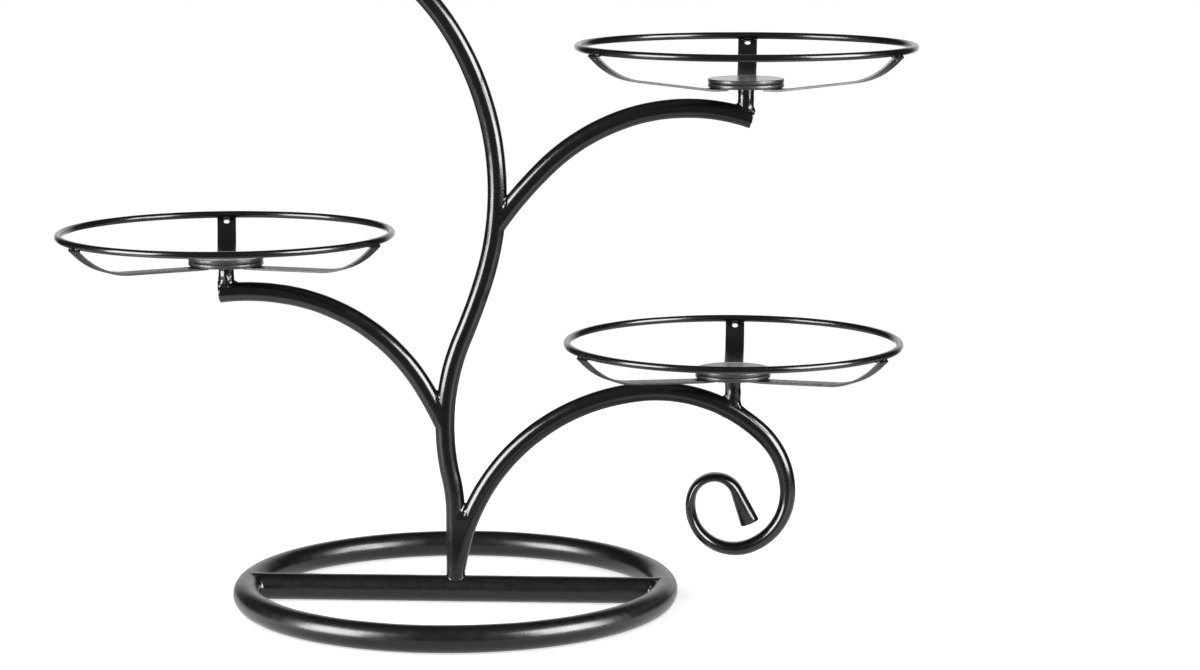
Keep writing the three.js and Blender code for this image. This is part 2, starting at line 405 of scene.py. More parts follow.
def closed_at_box(field, cell):
    """The field with its outermost layer outside the form, so that the net is closed."""
    for axis in range(3):
        edge = [slice(None)] * 3
        for end in (0, -1):
            edge[axis] = end
            field[tuple(edge)] = np.maximum(field[tuple(edge)], cell)
    return field


def weld_mesh(
    near,
    far,
    x_range,
    half_width,
    z_range,
    blend,
    seed,
    lumps,
    pitch,
    cell=0.5,
    sink=0.14,
    fillet_share=everywhere,
    only_seam=True,
):
    """Fillet where two forms meet. near and far give the distance from points to each form.

    It is looked for in a box of the given ranges. Away from the seam the fillet lies just under
    both surfaces, by sink. fillet_share, from 0 to 1, says where there is a fillet. lumps is how
    uneven its skin is, and pitch how far apart the lumps are. With only_seam, no more than the
    seam is made."""
    cell = cell * detail(1)
    low = np.array((x_range[0], -half_width, z_range[0]), float)
    high = np.array((x_range[1], half_width, z_range[1]), float)
    counts = np.ceil((high - low) / cell).astype(int) + 1
    axes = [low[n] + np.arange(counts[n]) * cell for n in range(3)]
    grid = np.stack(np.meshgrid(*axes, indexing="ij"), -1).reshape(-1, 3)
    a, b = near(grid), far(grid)
    share = fillet_share(grid) * (crease(a, b, counts) if only_seam else 1)
    blend = blend * (0.1 + 0.9 * share)
    h = np.clip(0.5 + 0.5 * (b - a) / blend, 0, 1)
    field = b * (1 - h) + a * h - blend * h * (1 - h) + sink
    if only_seam:
        field += 2 * (1 - share)
    seam = 4 * h * (1 - h) * share
    field -= seam * lumps * (waves(grid, pitch, seed) + 0.6 * waves(grid, pitch * 2.6, seed + 1))
    verts, faces = net_surface(closed_at_box(field.reshape(counts), cell), low, cell)
    return smooth_net(verts, faces), faces


def tube_distance(path, start, end, diameter):
    """Distance to a tube along a path. Where it runs out, it ends just inside its square cut."""
    step, inside_cut = 0.8, 0.4
    run = path.stations(start, min(end, path.length), step)
    last_x, last_z, heading, _ = path.at(path.length)

    def distance(points):
        best = np.full(len(points), 1e9)
        for x, z, _, _ in run:
            best = np.minimum(best, (points[:, 0] - x) ** 2 + (points[:, 2] - z) ** 2)
        skin = np.sqrt(best + points[:, 1] ** 2) - diameter / 2
        across = (points[:, 0] - last_x) * math.cos(heading)
        beyond = across + (points[:, 2] - last_z) * math.sin(heading) + inside_cut
        return np.maximum(skin, beyond) if end >= path.length else skin

    return distance


def post_distance(x, diameter):
    """Distance to an upright rod at x."""
    return lambda p: np.hypot(p[:, 0] - x, p[:, 1]) - diameter / 2


def ring_distance(z, radius, rod):
    """Distance to a level ring round the Z axis at height z."""
    return lambda p: np.hypot(np.hypot(p[:, 0], p[:, 1]) - radius, p[:, 2] - z) - rod / 2


def rod_distance(z, diameter):
    """Distance to a straight rod along X at height z."""
    return lambda p: np.hypot(p[:, 1], p[:, 2] - z) - diameter / 2


# ---------------------------------------------------------------- tubes and rings


def tube_skin(points, centres, seed):
    """The points of a tube's outer skin, moved a little towards its axis where it is dented."""
    outward = points - centres
    outward /= np.linalg.norm(outward, axis=1)[:, None]
    dents = DENT * waves(points, DENT_PITCH, seed) + RIPPLE * waves(points, RIPPLE_PITCH, seed + 5)
    return points + outward * (dents - DENT - RIPPLE)[:, None]


def tube_mesh(path, diameter, wall, seed, sides=44, step=1.6):
    """Swept tube, drawn flat where the path says so, with its far end cut square and open."""
    sides = detail(sides)
    step = detail(step)
    run = path.stations(0, path.length - CUT_RIM_LENGTH, step)
    cut = path.at(path.length)
    bore = path.stations(path.length - BORE_SHOWN, path.length, BORE_STEP)[::-1]
    rows = [(s, 0) for s in run]
    rows += [(cut, CUT_RIM_OUTSIDE), (cut, wall - CUT_RIM_INSIDE)]
    rows += [(s, wall) for s in bore]
    angles = 2 * np.pi * (np.arange(sides) + 0.5) / sides
    verts = []
    for (x, z, heading, width), inset in rows:
        half_width = width / 2
        half_depth = math.sqrt(diameter**2 / 2 - half_width**2)
        across = (half_width - inset) * np.cos(angles)
        deep = (half_depth - inset) * np.sin(angles)
        row = (x + across * math.sin(heading), deep, z - across * math.cos(heading))
        verts.append(np.stack(row, -1))
    verts = np.array(verts).reshape(-1, 3)
    outer = len(run) * sides
    centres = np.repeat(np.array([[s[0], 0, s[1]] for s in run]), sides, axis=0)
    verts[:outer] = tube_skin(verts[:outer], centres, seed)
    faces = []
    for r in range(len(rows) - 1):
        for k in range(sides):
            n = (k + 1) % sides
            a, b = r * sides, (r + 1) * sides
            faces.append([a + k, a + n, b + n, b + k])
    faces.append(list(range(sides))[::-1])
    last = (len(rows) - 1) * sides
    faces.append([last + k for k in range(sides)])
    return verts, faces


def torus_mesh(radius, rod, steps, sides, seed, height=0.0, wobble=0.03):
    """Ring of round bar, level at a height. Its dents go inwards only."""
    turn = 2 * np.pi * np.arange(steps) / steps
    roll = 2 * np.pi * np.arange(sides) / sides
    t, r = np.meshgrid(turn, roll, indexing="ij")
    out = radius + rod / 2 * np.cos(r)
    verts = np.stack([out * np.cos(t), out * np.sin(t), height + rod / 2 * np.sin(r)], -1)
    verts = verts.reshape(-1, 3)
    outward = np.stack([np.cos(r) * np.cos(t), np.cos(r) * np.sin(t), np.sin(r)], -1).reshape(-1, 3)
    dent_pitch, mean_dent, least_dent = 30, 1.2, 0.2
    dents = wobble * np.minimum(waves(verts, dent_pitch, seed) - mean_dent, -least_dent)
    verts = verts + outward * dents[:, None]
    faces = []
    for i in range(steps):
        for k in range(sides):
            j, n = (i + 1) % steps, (k + 1) % sides
            faces.append([i * sides + k, j * sides + k, j * sides + n, i * sides + n])
    return verts, faces


# ---------------------------------------------------------------- materials


def add(tree, kind, **settings):
    """A new node. Each setting is one of its properties or the value of one of its inputs."""
    node = tree.nodes.new(kind)
    for key, value in settings.items():
        if key in node.bl_rna.properties:
            setattr(node, key, value)
        else:
            node.inputs[key].default_value = value
    return node


def mapped(tree, value, start, end, low, high, easing="SMOOTHSTEP"):
    """Value brought from low at start to high at end."""
    node = add(tree, "ShaderNodeMapRange", interpolation_type=easing)
    node.inputs["From Min"].default_value = start
    node.inputs["From Max"].default_value = end
    node.inputs["To Min"].default_value = low
    node.inputs["To Max"].default_value = high
    tree.links.new(value, node.inputs["Value"])
    return node.outputs["Result"]


def noise(tree, place, scale, octaves):
    node = add(tree, "ShaderNodeTexNoise", Scale=scale, Detail=octaves)
    tree.links.new(place, node.inputs["Vector"])
    return node.outputs["Fac"]


def bump(tree, height, strength, distance):
    node = add(tree, "ShaderNodeBump", Strength=strength, Distance=distance)
    tree.links.new(height, node.inputs["Height"])
    return node


def coat_colour(tree, place, colour):
    """Colour that drifts a quarter darker and lighter."""
    tone = tree.nodes.new("ShaderNodeValToRGB")
    for stop, position, share in zip(tone.color_ramp.elements, (0.3, 0.7), (0.75, 1.25)):
        stop.position = position
        stop.color = (*[c * share for c in colour], 1)
    tree.links.new(noise(tree, place, 38, 3), tone.inputs["Fac"])
    return tone.outputs["Color"]


def rougher_rim(tree, roughness, rim):
    """Roughness with rim added on upright faces and nothing on level ones."""
    facing = tree.nodes.new("ShaderNodeSeparateXYZ")
    tree.links.new(tree.nodes.new("ShaderNodeNewGeometry").outputs["Normal"], facing.inputs[0])
    level_face, sloping_face = 0.97, 0.9
    level = add(tree, "ShaderNodeMath", operation="ABSOLUTE")
    tree.links.new(facing.outputs["Z"], level.inputs[0])
    rougher = add(tree, "ShaderNodeMath", operation="ADD")
    added = mapped(tree, level.outputs[0], level_face, sloping_face, 0, rim)
    tree.links.new(added, rougher.inputs[0])
    tree.links.new(roughness, rougher.inputs[1])
    return rougher.outputs[0]


def coat_relief(tree, place, peel, grit):
    """Orange peel over fine grit."""
    grains = add(tree, "ShaderNodeTexVoronoi", Scale=2600)
    tree.links.new(place, grains.inputs["Vector"])
    fine = bump(tree, grains.outputs["Distance"], grit, 0.00005)
    broad = bump(tree, noise(tree, place, 650, 2), peel, 0.0001)
    tree.links.new(fine.outputs["Normal"], broad.inputs["Normal"])
    return broad.outputs["Normal"]


def powder_coat(name, colour, roughness, spread, peel, grit, coat_roughness, coat=0.25, rim=0):
    """Satin powder coat: orange peel, fine grit, a little drift in tone and gloss.

    spread is the drift in roughness. rim is how much rougher upright faces are than level ones,
    for the cut rims of discs."""
    material = bpy.data.materials.new(name)
    material.use_nodes = True
    tree = material.node_tree
    shader = tree.nodes["Principled BSDF"]
    place = tree.nodes.new("ShaderNodeTexCoord").outputs["Object"]

    gloss = mapped(
        tree, noise(tree, place, 150, 4), 0.3, 0.7, roughness - spread, roughness + spread, "LINEAR"
    )
    if rim:
        gloss = rougher_rim(tree, gloss, rim)
    tree.links.new(coat_colour(tree, place, colour), shader.inputs["Base Color"])
    tree.links.new(gloss, shader.inputs["Roughness"])
    tree.links.new(coat_relief(tree, place, peel, grit), shader.inputs["Normal"])
    shader.inputs["IOR"].default_value = 1.5
    shader.inputs["Coat Weight"].default_value = coat
    shader.inputs["Coat Roughness"].default_value = coat_roughness
    shader.inputs["Coat IOR"].default_value = 1.5
    return material


BLACK = (0.007, 0.007, 0.008)

tube_coat = powder_coat(
    "tube_coat", BLACK, roughness=0.20, spread=0.03, peel=0.05, grit=0.03, coat_roughness=0.12
)
tray_coat = powder_coat(
    "tray_coat", BLACK, roughness=0.20, spread=0.02, peel=0.015, grit=0.01, coat_roughness=0.14
)
weld_coat = powder_coat(
    "weld_coat", BLACK, roughness=0.21, spread=0.03, peel=0.06, grit=0.03, coat_roughness=0.13
)
base_coat = powder_coat(
    "base_coat",
    (0.008, 0.008, 0.009),
    roughness=0.29,
    spread=0.04,
    peel=0.08,
    grit=0.06,
    coat_roughness=0.24,
)
strap_coat = powder_coat(
    "strap_coat",
    (0.009, 0.009, 0.010),
    roughness=0.34,
    spread=0.03,
    peel=0.02,
    grit=0.02,
    coat_roughness=0.26,
    coat=0.1,
)
disc_coat = powder_coat(
    "disc_coat",
    (0.030, 0.030, 0.031),
    roughness=0.20,
    spread=0.02,
    peel=0.01,
    grit=0.01,
    coat_roughness=0.20,
    coat=0.7,
    rim=0.28,
)

# ---------------------------------------------------------------- base


def make_base_ring():
    verts, faces = torus_mesh(
        BASE_RING_RADIUS,
        BASE_TUBE,
        steps=detail(220),
        sides=detail(48),
        seed=3,
        height=BASE_AXIS,
        wobble=0.04,
    )
    finish_piece(mesh_object("ring_of_base", verts, faces), base_coat, ["base_ring"])


def make_crossbar():
    bar = [dict(straight=2 * BASE_RING_RADIUS)]
    bar_path = BentPath(-BASE_RING_RADIUS, BASE_AXIS, 0, BASE_TUBE, bar)
    verts, faces = tube_mesh(bar_path, BASE_TUBE, BASE_WALL, seed=11, sides=48, step=2.5)
    finish_piece(mesh_object("bar_of_base", verts, faces), base_coat, ["base_crossbar"])


def make_crossbar_weld(name, side):
    """Weld at one end of the crossbar. side is -1 at the left and 1 at the right."""
    x = side * (BASE_RING_RADIUS - BASE_TUBE / 2 - 1)
    verts, faces = weld_mesh(
        rod_distance(BASE_AXIS, BASE_TUBE),
        ring_distance(BASE_AXIS, BASE_RING_RADIUS, BASE_TUBE),
        x_range=(x - 9, x + 9),
        half_width=13,
        z_range=(-1, BASE_TUBE + 1),
        blend=3.4,
        seed=21 + side,
        lumps=0.14,
        pitch=3.4,
    )
    above_floor = 0.05
    verts[:, 2] = np.maximum(verts[:, 2], above_floor)
    finish_piece(mesh_object(name, verts, faces), weld_coat)


make_base_ring()
make_crossbar()
make_crossbar_weld("weld_bar_left", -1)
make_crossbar_weld("weld_bar_right", 1)

# ---------------------------------------------------------------- stem and arms


def make_tube(name, node, path, seed):
    verts, faces = tube_mesh(path, ARM_TUBE, ARM_WALL, seed)
    obj = mesh_object(name, verts, faces)
    sharpen(obj, 38)
    finish_piece(obj, tube_coat, [node])


def make_foot_weld():
    """Weld between the stem's foot and the crossbar."""
    verts, faces = weld_mesh(
        tube_distance(stem_path, 0, 30, ARM_TUBE),
        rod_distance(BASE_AXIS, BASE_TUBE),
        x_range=(-12, 12),
        half_width=12,
        z_range=(BASE_AXIS + 1, BASE_TUBE + 7),
        blend=0.8,
        seed=41,
        lumps=0.05,
        pitch=3.4,
        cell=0.36,
    )
    finish_piece(mesh_object("weld_foot", verts, faces), base_coat)


def crotch_point(path):
    """Where the gap between an arm and the stem is wide enough to end the weld between them."""
    stem_run = stem_path.stations(0, stem_path.length, 1)[:, :2]
    for along in np.arange(10, path.length, 0.5):
        spot = np.array(path.at(along)[:2])
        apart = np.linalg.norm(stem_run - spot, axis=1)
        if apart.min() > ARM_TUBE + CROTCH_GAP:
            return (spot + stem_run[apart.argmin()]) / 2
    raise ValueError("arm never leaves the stem")


def crotch_web(path, crotch, side):
    """Distance to the web that fills the fork between the two axes, thinner towards its end."""
    stem_run = stem_path.stations(0, stem_path.length, 1)
    arm_run = path.stations(0, 70, 1)
    proud = 0.08

    def distance(points):
        x, y, z = points.T
        past_stem = (x - np.interp(z, stem_run[:, 1], stem_run[:, 0])) * side
        past_arm = (x - np.interp(z, arm_run[:, 1], arm_run[:, 0])) * side
        depth = np.sqrt(np.clip((crotch[1] - z) / CROTCH_TAPER, 0, 1)) * (ARM_TUBE / 2 + proud)
        above = z - crotch[1]
        return np.max([np.abs(y) - depth, -past_stem, past_arm, above], axis=0)

    return distance


def make_crotch_weld(name, path, station, side, seed):
    """Filled and flushed weld between an arm and the stem.

    station is the arm's place along the stem. side is 1 for an arm on the right and -1 for one
    on the left."""
    crotch = crotch_point(path)
    root = np.array(path.at(0)[:2])
    arm_start = 4  # keeps the rounded start of the arm's field inside the stem
    arm = tube_distance(path, arm_start, 90, ARM_TUBE)
    stem = tube_distance(stem_path, max(station - 30, 0), station + 100, ARM_TUBE)
    fillet_reach, fillet_ease = 12, 6

    def tubes(points):
        return np.minimum(arm(points), stem(points))

    def near_crotch(points):
        reach = np.hypot(points[:, 0] - crotch[0], points[:, 2] - crotch[1])
        return ease((fillet_reach - reach) / fillet_ease)

    verts, faces = weld_mesh(
        crotch_web(path, crotch, side),
        tubes,
        x_range=(min(crotch[0], root[0]) - 10, max(crotch[0], root[0]) + 10),
        half_width=8.5,
        z_range=(root[1] - 4, crotch[1] + 6),
        blend=1.8,
        seed=seed,
        lumps=0.24,
        pitch=3.2,
        sink=0.22,
        fillet_share=near_crotch,
        only_seam=False,
    )
    finish_piece(mesh_object(name, verts, faces), weld_coat)


make_tube("tube_stem", "stem", stem_path, seed=31)
make_tube("tube_low_right", "arm_low_right", low_right_path, seed=33)
make_tube("tube_left", "arm_left", left_path, seed=35)
make_tube("tube_high_right", "arm_high_right", high_right_path, seed=37)
make_foot_weld()
make_crotch_weld("weld_low_right", low_right_path, LOW_RIGHT_ARM["station"], 1, seed=51)
make_crotch_weld("weld_left", left_path, LEFT_ARM["station"], -1, seed=53)
make_crotch_weld("weld_high_right", high_right_path, HIGH_RIGHT_ARM["station"], 1, seed=55)

# ---------------------------------------------------------------- straps


def strap_path(rim_rise, strap_lift):
    """The strap's upper face, from under the hub out to its tip beside the ring."""
    lift = math.radians(strap_lift)
    across = TRAY_RING_RADIUS - HUB_DIAMETER / 2 - STRAP_LIFT_RADIUS * math.sin(lift)
    up = rim_rise - STRAP_LIFT_RADIUS * (1 - math.cos(lift))
    ahead = across * math.cos(lift) + up * math.sin(lift)
    above = up * math.cos(lift) - across * math.sin(lift)

    offset = RING_ROD / 2 / math.cos(math.pi / RING_ROD_SIDES) + WELD_GAP
    lever = math.hypot(STRAP_BEND_RADIUS - offset, STRAP_LEG)
    lean = math.atan2(STRAP_LEG, STRAP_BEND_RADIUS - offset)
    angle = math.acos((STRAP_BEND_RADIUS - above) / lever) - lean
    bend_ahead = (STRAP_BEND_RADIUS - offset) * math.sin(angle) + STRAP_LEG * math.cos(angle)
    bends = [
        dict(straight=STRAP_UNDER_HUB),
        dict(radius=STRAP_LIFT_RADIUS, turn=strap_lift),
        dict(straight=ahead - bend_ahead),
        dict(radius=STRAP_BEND_RADIUS, turn=math.degrees(angle)),
        dict(straight=STRAP_LEG),
    ]
    return BentPath(HUB_DIAMETER / 2 - STRAP_UNDER_HUB, 0, 0, 0, bends)


class StrapPattern:
    """The strap laid flat: points (along, across) and polygons, with a hole near its far end."""

    PATCH = 3.0  # half the side of the square that holds the hole
    PATCH_STEPS = 6  # points along each side of that square
    STRIPS = 33  # from the hub to the square

    def __init__(self, length):
        self.points = []
        self.polygons = []
        self._numbers = {}
        self._hole_at = length - STRAP_HOLE_FROM_END
        near_patch, far_patch = self._hole_at - self.PATCH, self._hole_at + self.PATCH
        starts = np.linspace(0, near_patch, self.STRIPS + 1)
        for start, end in zip(starts, starts[1:]):
            self._strip(start, end)
        self._strip(far_patch, length)
        self._hole(near_patch, far_patch)

    def _number(self, along, across):
        spot = (round(along, 4), round(across, 4))
        if spot not in self._numbers:
            self._numbers[spot] = len(self.points)
            self.points.append((along, across))
        return self._numbers[spot]

    def _strip(self, start, end):
        lines = (-STRAP_WIDTH / 2, -self.PATCH, self.PATCH, STRAP_WIDTH / 2)
        for low, high in zip(lines, lines[1:]):
            corners = ((start, low), (end, low), (end, high), (start, high))
            self.polygons.append([self._number(*corner) for corner in corners])

    def _hole(self, near_patch, far_patch):
        steps = np.linspace(-self.PATCH, self.PATCH, self.PATCH_STEPS + 1)[:-1]
        square = [(self._hole_at + v, -self.PATCH) for v in steps]
        square += [(far_patch, v) for v in steps]
        square += [(self._hole_at - v, self.PATCH) for v in steps]
        square += [(near_patch, -v) for v in steps]
        total = len(square)
        circle = arc(self._hole_at, 0, STRAP_HOLE / 2, -135, 225, total + 1)[:-1]
        for n in range(total):
            m = (n + 1) % total
            corners = (square[n], square[m], circle[m], circle[n])
            self.polygons.append([self._number(*corner) for corner in corners])
        side = self.PATCH_STEPS
        low_side = [self._number(*spot) for spot in square[: side + 1]]
        high_side = [self._number(*spot) for spot in square[2 * side : 3 * side + 1]]
        half = STRAP_WIDTH / 2
        low_edge = [self._number(near_patch, -half), self._number(far_patch, -half)]
        high_edge = [self._number(far_patch, half), self._number(near_patch, half)]
        self.polygons.append(low_edge + low_side[::-1])
        self.polygons.append(high_edge + high_side[::-1])


def strap_mesh(rim_rise, strap_lift):
    """Flat bar with a drilled hole near its tip, bent along the strap's path."""
    path = strap_path(rim_rise, strap_lift)
    pattern = StrapPattern(path.length)
    places = np.array([path.at(along) for along, _ in pattern.points])
    across = np.array([across for _, across in pattern.points])
    upper = np.stack([places[:, 0], across, places[:, 1]], -1)
    normal = np.stack([-np.sin(places[:, 2]), 0 * across, np.cos(places[:, 2])], -1)
    lower = upper - normal * STRAP_THICKNESS
    n = len(pattern.points)
    faces = [list(p) for p in pattern.polygons]
    faces += [[v + n for v in p[::-1]] for p in pattern.polygons]
    edges = [edge for p in pattern.polygons for edge in zip(p, p[1:] + p[:1])]
    paired = set(edges)
    for a, b in edges:
        if (b, a) not in paired:
            faces.append([b, a, a + n, b + n])
    return np.vstack([upper, lower]), faces


def strap_weld(rim_rise, strap_lift, seed):
    """Weld between the tip of a strap and the ring, for a strap that runs along X."""
    path = strap_path(rim_rise, strap_lift)
    tip_x, tip_z, heading, _ = path.at(path.length)
    ahead = np.array([math.cos(heading), 0, math.sin(heading)])
    upward = np.array([-math.sin(heading), 0, math.cos(heading)])
    tip = np.array([tip_x, 0, tip_z]) - upward * STRAP_THICKNESS / 2
    half_leg = 4
    under_face, under_edge = 0.1, 0.2
    hole_margin, hole_ease = 0.3, 0.9

    def leg_distance(points):
        off = points - tip + ahead * half_leg
        beyond = np.stack(
            [
                np.abs(off @ ahead) - half_leg,
                np.abs(off @ upward) - STRAP_THICKNESS / 2 + under_face,
                np.abs(points[:, 1]) - STRAP_WIDTH / 2 + under_edge,
            ]
        )
        outside = np.linalg.norm(np.maximum(beyond, 0), axis=0)
        return outside + np.minimum(beyond.max(axis=0), 0)

    def clear_of_hole(points):
        along = (points - tip) @ ahead + STRAP_HOLE_FROM_END
        return ease((np.hypot(along, points[:, 1]) - STRAP_HOLE / 2 - hole_margin) / hole_ease)

    return weld_mesh(
        ring_distance(rim_rise, TRAY_RING_RADIUS, RING_ROD),
        leg_distance,
        x_range=(TRAY_RING_RADIUS - 6, TRAY_RING_RADIUS + 5),
        half_width=8.5,
        z_range=(rim_rise - 7, rim_rise + 3),
        blend=2.4,
        seed=seed,
        lumps=0.14,
        pitch=2.2,
        cell=0.34,
        fillet_share=clear_of_hole,
    )


# ---------------------------------------------------------------- trays

DISC_STEPS = detail(112)


def placed(points, tier, degrees=0, rise=0):
    """Points of a tray's piece, turned about the post and moved to the hub of its tier."""
    angle = math.radians(degrees)
    c, s = math.cos(angle), math.sin(angle)
    out = points.copy()
    out[:, 0] = points[:, 0] * c - points[:, 1] * s + tier["x"]
    out[:, 1] = points[:, 0] * s + points[:, 1] * c
    out[:, 2] = points[:, 2] + (tier["hub_z"] + rise)
    return out


def hub_profile():
    """Outline of the hub: a flat disc with rounded rims."""
    radius, edge, top = HUB_DIAMETER / 2, HUB_EDGE, HUB_THICKNESS
    rim = arc(radius - edge, edge, edge, -90, 0, 5) + arc(radius - edge, top - edge, edge, 0, 90, 5)
    inner = (0, radius * 0.35, radius * 0.7, radius - 2.6)
    return [(r, 0) for r in inner] + rim + [(r, top) for r in inner[::-1]]


def cap_profile():
    """Outline of the cap: a shallow rolled lip round a flat top face, the stud left out of sight."""
    radius, bottom, top = HUB_DIAMETER / 2, HUB_THICKNESS, HUB_THICKNESS + CAP_THICKNESS
    low, high = CAP_LOWER_EDGE, CAP_UPPER_EDGE
    lower = [(0, bottom), (radius * 0.5, bottom), (radius - 2.4, bottom)]
    rim = arc(radius - low, bottom + low, low, -90, 0, 7)
    rim += arc(radius - high, top - high, high, 0, 90, 7)
    slope = [(radius - 1.2, top - 0.03), (radius - 1.9, top - 0.12), (radius - 2.9, top - 0.16)]
    middle = [(radius * share, top - CAP_DISH) for share in (0.6, 0.3, 0)]
    return lower + rim + slope + middle


def make_post(name, tier, seed):
    """Post, with the uneven skin of a welded and coated sleeve."""
    heights = np.linspace(POST_FOOT - tier["hub_rise"], 0, detail(34))
    profile = [(0, heights[0])] + [(POST_DIAMETER / 2, h) for h in heights] + [(0, 0)]
    verts, faces = revolve(profile, detail(56))
    radial = verts * (1, 1, 0)
    reach = np.linalg.norm(radial, axis=1)
    outward = radial / np.maximum(reach, 1e-6)[:, None]
    lumps = POST_LUMPS * waves(verts * POST_LUMP_STRETCH, POST_LUMP_PITCH, seed) - POST_SHRINK
    verts = verts + outward * (lumps * (reach > 1))[:, None]
    obj = mesh_object(f"post_{name}", placed(verts, tier), faces)
    sharpen(obj, 50)
    finish_piece(obj, weld_coat, [f"{name}_post"])


def make_post_weld(name, tier, seed):
    """Weld round the foot of the post."""
    x, arm_z, along = tier["x"], tier["arm_z"], tier["post_along"]
    verts, faces = weld_mesh(
        post_distance(x, POST_DIAMETER - 0.5),
        tube_distance(tier["path"], along - 24, along + 24, ARM_TUBE),
        x_range=(x - 10, x + 10),
        half_width=9.5,
        z_range=(arm_z - 4, arm_z + 14),
        blend=3.6,
        seed=seed,
        lumps=0.17,
        pitch=3.2,
        cell=0.42,
    )
    finish_piece(mesh_object(f"weld_post_{name}", verts, faces), weld_coat)


def make_disc(name, tier, profile, node):
    verts, faces = revolve(profile, DISC_STEPS)
    obj = mesh_object(name, placed(verts, tier), faces)
    sharpen(obj, 50)
    finish_piece(obj, disc_coat, [node])


def make_tray_ring(name, tier, seed):
    verts, faces = torus_mesh(
        TRAY_RING_RADIUS, RING_ROD, steps=detail(200), sides=detail(24), seed=seed
    )
    obj = mesh_object(f"rim_{name}", placed(verts, tier, rise=tier["rim_rise"]), faces)
    finish_piece(obj, tray_coat, [f"{name}_tray_ring"])


def make_strap(name, tier, strap, angle, seed):
    """One strap and the weld at its tip."""
    bend = (tier["rim_rise"], tier["strap_lift"])
    verts, faces = strap_weld(*bend, seed)
    obj = mesh_object(f"weld_{strap}_{name}", placed(verts, tier, angle + tier["turn"]), faces)
    finish_piece(obj, weld_coat)

    verts, faces = strap_mesh(*bend)
    obj = mesh_object(f"{strap}_{name}", placed(verts, tier, angle + tier["turn"]), faces)
    bevel = obj.modifiers.new("edges", "BEVEL")
    bevel.width = STRAP_EDGE * MM
    bevel.segments = 2
    bevel.limit_method = "ANGLE"
    bevel.angle_limit = math.radians(50)
    sharpen(obj, 55)
    finish_piece(obj, strap_coat, [f"{name}_{strap}"])


for number, (name, tier) in enumerate(TIERS.items()):
    make_post(name, tier, seed=61 + number)
    make_post_weld(name, tier, seed=71 + number)
    make_disc(f"hub_{name}", tier, hub_profile(), f"{name}_hub_plate")
    make_disc(f"cap_{name}", tier, cap_profile(), f"{name}_cap_disc")
    make_tray_ring(name, tier, seed=81 + number)
    for strap, angle in STRAP_ANGLES.items():
        make_strap(name, tier, strap, angle, seed=91 + number + angle)

# ---------------------------------------------------------------- studio, in metres

scene.view_settings.view_transform = "Standard"

FLOOR_HALF_WIDTH = 1.3
FLOOR_HALF_DEPTH = 0.8
FLOOR_COLOUR = 0.85
# The floor's own glow for the eye: its strength at a distance from the stand.
GLOW_LEAST, GLOW_MOST = 0.66, 1.0
GLOW_START, GLOW_END = 0.25, 1.1
# Painted light: bright streaks painted on the floor where the lamps' light would fall, shown in
# gloss alone: azimuth and brightness.
PAINTED_LIGHT_STREAKS = {-60: 1.7, 66: 1.1}
STREAK_MIDDLE = 0.62
STREAK_HALF_LENGTH = 0.58
STREAK_HALF_WIDTH = 0.2
# Painted light and shade on the floor, seen in gloss alone: how bright it is drawn, from the
# camera's side (-Y) to behind the stand, dark at front and back.
FLOOR_PAINTED_GLOSS_LEVELS = {-0.5: 0.1, -0.2: 0.72, 0.16: 0.72, 0.36: 0.12}
# How bright the room is in gloss, from the camera's side (-1) to straight behind the stand (1).
ROOM_LEVELS = {-0.99: 0.16, 0.0: 0.14, 0.35: 0.03, 0.82: 0.03, 0.94: 0.9}
ROOM_FILL = 0.35

LAMPS_AIM = (0.03, 0.0, 0.22)
LAMP_HEIGHT = 1.2

CAMERA_PLACE = (0.2122, -2.1805, 0.5246)
CAMERA_DOWN = 8.87
CAMERA_TURN = 3
CAMERA_LENS = 99

WHITE = (1, 1, 1, 1)


def ray_share(tree, *kinds):
    """1 for the named kinds of ray, and 0 for all others."""
    rays = tree.nodes.new("ShaderNodeLightPath")
    share = rays.outputs[kinds[0]]
    for kind in kinds[1:]:
        either = add(tree, "ShaderNodeMath", operation="MAXIMUM")
        tree.links.new(share, either.inputs[0])
        tree.links.new(rays.outputs[kind], either.inputs[1])
        share = either.outputs[0]
    return share


def mixed(tree, share, first, second):
    """The first shader where share is 0 and the second where it is 1."""
    mix = tree.nodes.new("ShaderNodeMixShader")
    tree.links.new(share, mix.inputs["Fac"])
    tree.links.new(first.outputs[0], mix.inputs[1])
    tree.links.new(second.outputs[0], mix.inputs[2])
    return mix


def summed(tree, first, second):
    """Both shaders added up."""
    both = tree.nodes.new("ShaderNodeAddShader")
    tree.links.new(first.outputs[0], both.inputs[0])
    tree.links.new(second.outputs[0], both.inputs[1])
    return both


def levels_along_y(tree, vector, levels):
    """Grey level that follows a vector's Y from -1 to 1, through the given levels."""
    split = tree.nodes.new("ShaderNodeSeparateXYZ")
    tree.links.new(vector, split.inputs[0])
    backward = mapped(tree, split.outputs["Y"], -1, 1, 0, 1, "LINEAR")
    ramp = tree.nodes.new("ShaderNodeValToRGB")
    stops = ramp.color_ramp.elements
    for place, level in levels.items():
        stop = stops.new((place + 1) / 2)
        stop.color = (level, level, level, 1)
    stops.remove(stops[0])
    stops.remove(stops[len(stops) - 1])
    tree.links.new(backward, ramp.inputs["Fac"])
    return ramp.outputs["Color"]


def distance_from_origin(tree, vector):
    node = add(tree, "ShaderNodeVectorMath", operation="DISTANCE")
    tree.links.new(vector, node.inputs[0])
    node.inputs[1].default_value = (0, 0, 0)
    return node.outputs["Value"]


